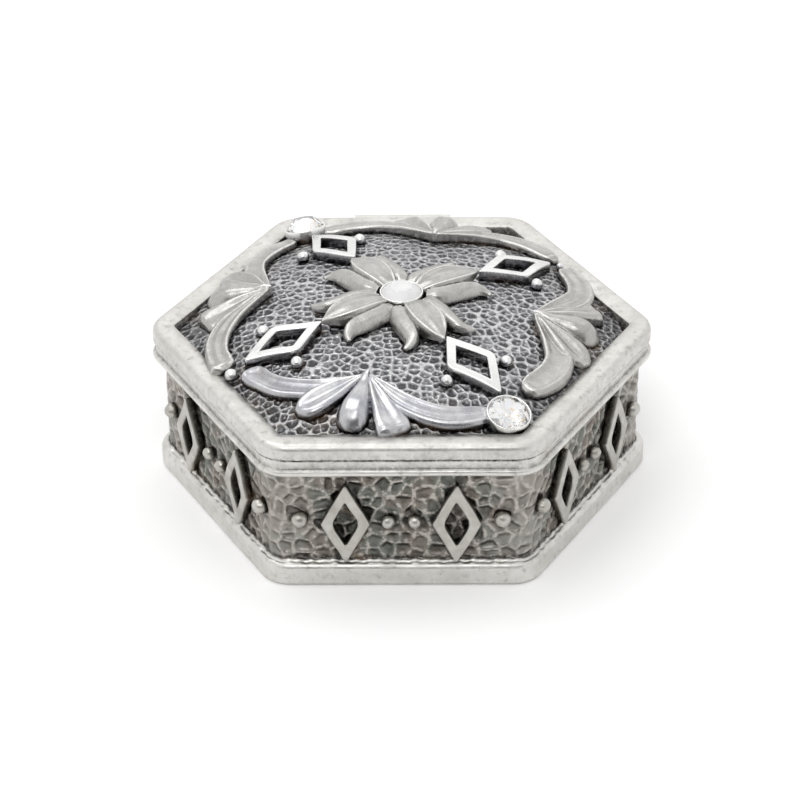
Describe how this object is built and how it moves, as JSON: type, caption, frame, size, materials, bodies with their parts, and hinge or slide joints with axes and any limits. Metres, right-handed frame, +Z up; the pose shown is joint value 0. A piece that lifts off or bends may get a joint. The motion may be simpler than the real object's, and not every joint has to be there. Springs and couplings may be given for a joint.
{
  "type": "hinged trinket box",
  "caption": "Low hexagonal metal keepsake box on a flat foot, with a hinged domed lid set with relief flowers and cut stones.",
  "frame": {"origin": "middle of the flat underside of the foot", "axes": "+Z up; +Y towards the hinge; +X towards a corner of the hexagon"},
  "size_m": [0.0688, 0.0639, 0.0285],
  "materials": {
    "base_casting": "cast pewter, satin, hammered walls darkened in the hollows",
    "lid_casting": "cast pewter, satin rim, pebbled plate darkened in the hollows",
    "lid_relief": "cast pewter, polished, darkened where it meets the plate",
    "wall_trim": "cast pewter, polished face, brown tarnish on the edges",
    "stone_cup": "turned pewter, polished",
    "stone": "clear brilliant-cut crystal",
    "hinge_leaf": "satin metal",
    "hinge_pin": "satin steel wire"
  },
  "bodies": {
    "base": {"base_shell": "base_casting", "hinge_leaf_base": "hinge_leaf", "hinge_pin": "hinge_pin", "wall_1_lozenge_a": "wall_trim", "wall_1_lozenge_b": "wall_trim", "wall_1_beads": "wall_trim", "wall_2_lozenge_a": "wall_trim", "wall_2_lozenge_b": "wall_trim", "wall_2_beads": "wall_trim", "wall_3_lozenge_a": "wall_trim", "wall_3_lozenge_b": "wall_trim", "wall_3_beads": "wall_trim", "wall_4_lozenge_a": "wall_trim", "wall_4_lozenge_b": "wall_trim", "wall_4_beads": "wall_trim", "wall_5_lozenge_a": "wall_trim", "wall_5_lozenge_b": "wall_trim", "wall_5_beads": "wall_trim", "wall_6_lozenge_a": "wall_trim", "wall_6_lozenge_b": "wall_trim", "wall_6_beads": "wall_trim"},
    "lid": {"lid_shell": "lid_casting", "hinge_leaf_lid": "hinge_leaf", "lid_beads": "lid_relief", "flower_right": "lid_relief", "flower_back": "lid_relief", "flower_left": "lid_relief", "flower_front": "lid_relief", "lozenge_right": "lid_relief", "lozenge_back": "lid_relief", "lozenge_left": "lid_relief", "lozenge_front": "lid_relief", "palmette_front": "lid_relief", "palmette_right": "lid_relief", "palmette_back": "lid_relief", "palmette_left": "lid_relief", "stone_cup_centre": "stone_cup", "stone_cup_front": "stone_cup", "stone_cup_back": "stone_cup", "stone_centre": "stone", "stone_front": "stone", "stone_back": "stone"}
  },
  "joints": [
    {"name": "lid_hinge", "type": "hinge", "parent": "base", "child": "lid", "pos_m": [0, 0.0319, 0.0202], "axis": [-1, 0, 0], "range_deg": [0, 105]}
  ]
}
